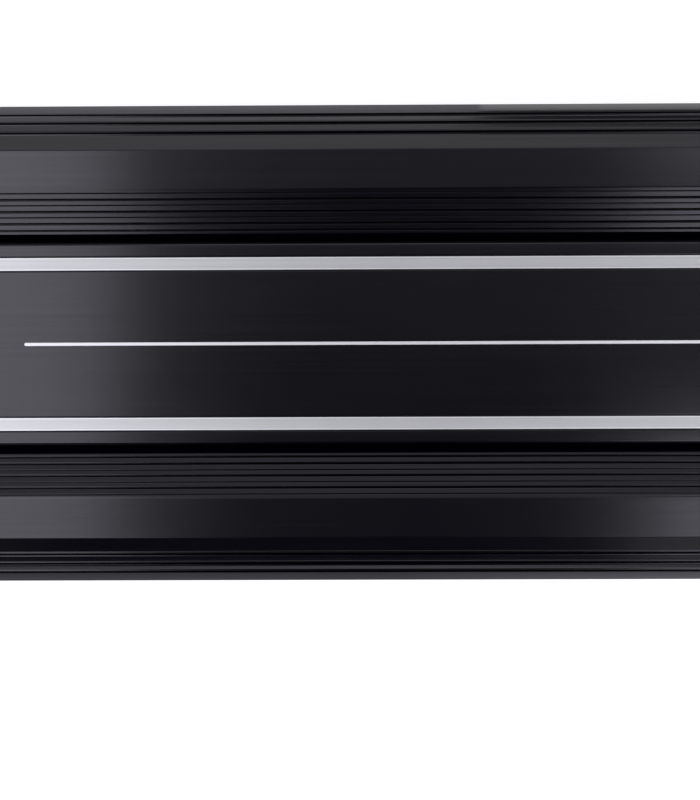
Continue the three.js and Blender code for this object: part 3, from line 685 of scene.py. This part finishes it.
def status_lens():
    """The status light's domed lens in a thin bezel."""
    centre = Vector((PLATE_FACE, *STATUS_LIGHT))
    dome = [(0, -8), (2.4, -8), (2.4, 0), (2.1, 0.5), (1.3, 0.9), (0, 1)]
    profile = [(radius * MM, distance * MM) for radius, distance in dome]
    made = piece("status_lens", lathe(bmesh.new(), profile, centre, "X"), LENS)
    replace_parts(made, "status_led")
    bezel = [(2.75, 0.02), (2.75, 0.35), (3.0, 0.5), (3.4, 0.4), (3.6, 0.02)]
    profile = [(radius * MM, distance * MM) for radius, distance in bezel]
    piece("status_bezel", closed_lathe(bmesh.new(), profile, centre, "X"), NICKEL)


# ---------------------------------------------------------------- finishes for the CAD nodes

FLAT_NODES = {
    "bottom_plate": (POWDER_COAT, PLATE_BEVEL),
    "power_end_plate": (POWDER_COAT, PLATE_BEVEL),
    "control_end_plate": (POWDER_COAT, PLATE_BEVEL),
    "power_terminal_housing": (NYLON, MOULDING_BEVEL),
    "speaker_terminal_housing": (NYLON, MOULDING_BEVEL),
    "ground_clamp_block": (NICKEL, PART_BEVEL),
    "battery_clamp_block": (NICKEL, PART_BEVEL),
    "remote_clamp_block": (NICKEL, PART_BEVEL),
    "speaker_minus_clamp_block": (NICKEL, PART_BEVEL),
    "speaker_plus_clamp_block": (NICKEL, PART_BEVEL),
    "rca_jack_housing": (NYLON, PART_BEVEL),
    "bass_remote_socket": (NYLON, MOULDING_BEVEL),
    "phase_switch_body": (EPOXY, PART_BEVEL),
    "phase_switch_lever": (KNOB_PLASTIC, PART_BEVEL),
    "gain_potentiometer": (EPOXY, PART_BEVEL),
    "low_pass_potentiometer": (EPOXY, PART_BEVEL),
    "subsonic_potentiometer": (EPOXY, PART_BEVEL),
    "bass_boost_potentiometer": (EPOXY, PART_BEVEL),
    "preamp_board": (CIRCUIT_BOARD, PART_BEVEL),
    "output_stage_board": (CIRCUIT_BOARD, PART_BEVEL),
    "power_supply_board": (CIRCUIT_BOARD, PART_BEVEL),
    "power_transformer_1": (COPPER_WINDING, PLATE_BEVEL),
    "power_transformer_2": (COPPER_WINDING, PLATE_BEVEL),
    "power_transformer_3": (COPPER_WINDING, PLATE_BEVEL),
    "output_inductor": (COPPER_WINDING, PLATE_BEVEL),
    "filter_capacitor_1": (CAPACITOR_SLEEVE, PART_BEVEL),
    "filter_capacitor_2": (CAPACITOR_SLEEVE, PART_BEVEL),
    "filter_capacitor_3": (CAPACITOR_SLEEVE, PART_BEVEL),
    "filter_capacitor_4": (CAPACITOR_SLEEVE, PART_BEVEL),
    "transistor_row_rear": (EPOXY, PART_BEVEL),
    "transistor_row_front": (EPOXY, PART_BEVEL),
    "transistor_clamp_bar_rear": (PLATED_BAR, PART_BEVEL),
    "transistor_clamp_bar_front": (PLATED_BAR, PART_BEVEL),
}


def finish_cad_nodes():
    """Each kept CAD node gets its finish and softened edges."""
    for name, (material, width) in FLAT_NODES.items():
        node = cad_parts[name]
        node.data.materials.clear()
        node.data.materials.append(material)
        weld = node.modifiers.new("weld", "WELD")
        weld.merge_threshold = 1e-6
        flatten = node.modifiers.new("flatten", "DECIMATE")
        flatten.decimate_type = "DISSOLVE"
        flatten.angle_limit = math.radians(1)
        bevel(node, width)


# ---------------------------------------------------------------- stage


FLOOR_LEVEL = -0.2 * MM  # just under the bottom plate
SOFTBOX_HEIGHT = 0.8
SOFTBOXES = {  # centre and size along X and Y, then brightness
    "softbox_control_end": ((-0.38, -0.31), (0.8, 1.2), 2.3),
    "softbox_power_end": ((0.745, -0.57), (0.72, 1.0), 2.4),
    "striplight_power_end": ((0.745, 0.17), (0.72, 0.14), 1.5),
}
CARD_LEVEL = (0.5 * MM, 0.5 * MM)
CARDS = {  # spans along X, Y and Z, then tones at the -X and +X ends
    "flag_front": ((-0.1, 0.367), (-0.8, -0.8), (0.05, 0.4), (0.005, 0.005)),
    "flag_front_power": ((0.367, 0.9), (-0.8, -0.8), (0.0, 0.17), (0.25, 0.25)),
    "card_front_near": ((-0.1, 0.22), (-0.24, -0.125), CARD_LEVEL, (0.34, 0.34)),
    "card_front_near_power": ((0.22, 0.42), (-0.24, -0.125), CARD_LEVEL, (0.34, 0.78)),
    "card_front_far": ((-0.1, 0.25), (-0.8, -0.24), CARD_LEVEL, (0.4, 0.7)),
    "card_front_far_power": ((0.25, 0.6), (-0.8, -0.24), CARD_LEVEL, (0.7, 0.15)),
    "card_rear_near": ((-0.3, 0.265), (0.125, 0.24), CARD_LEVEL, (0.95, 0.9)),
    "card_rear": ((0.265, 0.7), (0.187, 0.7), CARD_LEVEL, (0.15, 0.15)),
    "flag_rear": ((0.265, 0.7), (0.7, 0.7), (0.0, 0.16), (0.15, 0.15)),
}


def floor():
    mesh = bmesh.new()
    bmesh.ops.create_grid(mesh, x_segments=1, y_segments=1, size=15.0)
    data = bpy.data.meshes.new("floor")
    mesh.to_mesh(data)
    mesh.free()
    paper = Finish("floor_paper", {"Base Color": rgb(0.45, 0.45, 0.45), "Roughness": 0.9})
    paper.set({"Emission Color": rgb(1, 1, 1), "Emission Strength": 0.8})
    data.materials.append(paper.material)
    made = bpy.data.objects.new("floor", data)
    made.location.z = FLOOR_LEVEL
    bpy.context.scene.collection.objects.link(made)


def studio():
    """A world with a bright horizon, a pale upper half beyond +Y and a dark one beyond -Y."""
    world = bpy.data.worlds.new("studio")
    bpy.context.scene.world = world
    world.use_nodes = True
    nodes, links = world.node_tree.nodes, world.node_tree.links
    parts = nodes.new("ShaderNodeSeparateXYZ")
    links.new(nodes.new("ShaderNodeTexCoord").outputs["Generated"], parts.inputs["Vector"])
    across = nodes.new("ShaderNodeMapRange")
    across.inputs["From Min"].default_value = -1
    links.new(parts.outputs["Y"], across.inputs["Value"])
    sides = nodes.new("ShaderNodeValToRGB")
    links.new(across.outputs["Result"], sides.inputs["Fac"])
    stops = [(0.03, 0.015), (0.5, 0.015), (0.514, 0.38), (0.8, 0.5), (0.975, 0.95)]
    elements = sides.color_ramp.elements
    while len(elements) < len(stops):
        elements.new(0.5)
    for element, (position, level) in zip(elements, stops):
        element.position = position
        element.color = rgb(level, level, level * 1.1)
    low = nodes.new("ShaderNodeMapRange")
    for name, value in (("From Min", 0.45), ("From Max", 0.2)):
        low.inputs[name].default_value = value
    links.new(parts.outputs["Z"], low.inputs["Value"])
    blend = nodes.new("ShaderNodeMixRGB")
    links.new(low.outputs["Result"], blend.inputs["Fac"])
    links.new(sides.outputs["Color"], blend.inputs["Color1"])
    blend.inputs["Color2"].default_value = rgb(0.97, 0.97, 0.98)
    links.new(blend.outputs["Color"], nodes["Background"].inputs["Color"])


def softbox(name, location, size, radiance):
    """A rectangular light facing down that the camera doesn't see."""
    data = bpy.data.lights.new(name, "AREA")
    data.shape = "RECTANGLE"
    data.size, data.size_y = size
    data.energy = radiance * math.pi * size[0] * size[1]
    data.color = (0.97, 0.945, 1.08)
    made = bpy.data.objects.new(name, data)
    made.location = location
    made.visible_camera = False
    bpy.context.scene.collection.objects.link(made)


def card(name, x_span, y_span, z_span, tones):
    """A grey card beside the amplifier that only reflections see. tones are at its -X and +X ends."""
    mesh = bmesh.new()
    (x0, x1), (y0, y1), (z0, z1) = x_span, y_span, z_span
    corners = [(x0, y0, z0), (x1, y0, z0), (x1, y1, z1), (x0, y1, z1)]
    mesh.faces.new([mesh.verts.new(corner) for corner in corners])
    data = bpy.data.meshes.new(name)
    mesh.to_mesh(data)
    mesh.free()
    paint = Finish(name, {"Roughness": 0.95})
    here = paint.add("TexCoord", {}, "Generated")
    along = paint.add("SeparateXYZ", {"Vector": here}, "X")
    first, last = [rgb(tone, tone, tone) for tone in tones]
    paint.set({"Base Color": paint.tint(along, first, last)})
    data.materials.append(paint.material)
    made = bpy.data.objects.new(name, data)
    made.visible_camera = False
    made.visible_diffuse = False
    made.visible_shadow = False
    bpy.context.scene.collection.objects.link(made)


def camera():
    data = bpy.data.cameras.new("camera")
    data.sensor_fit = "VERTICAL"
    data.sensor_height = SENSOR
    data.lens = SENSOR * CAMERA_DISTANCE / VIEW_HEIGHT
    data.clip_end = 100
    made = bpy.data.objects.new("camera", data)
    back = CAMERA_LEAN.normalized()
    right = Vector((0, 1, 0)).cross(back).normalized()
    up = back.cross(right)
    facing = Matrix((right, up, back)).transposed().to_4x4()
    roll = Matrix.Rotation(CAMERA_ROLL, 4, "Z")
    made.matrix_world = Matrix.Translation(VIEW_CENTRE + back * CAMERA_DISTANCE) @ facing @ roll
    bpy.context.scene.collection.objects.link(made)
    bpy.context.scene.camera = made


def stage():
    floor()
    studio()
    for name, (centre, size, radiance) in SOFTBOXES.items():
        softbox(name, (*centre, SOFTBOX_HEIGHT), size, radiance)
    for name, (x_span, y_span, z_span, tones) in CARDS.items():
        card(name, x_span, y_span, z_span, tones)
    camera()
    bpy.context.scene.view_settings.view_transform = "Standard"


heatsink()
bright_strips()
centre_line()
plate_screws()
clamp_screws()
cover_screws()
jack_sleeves()
knobs()
knob_ticks()
polarity_marks()
socket_contacts()
status_lens()
finish_cad_nodes()
stage()
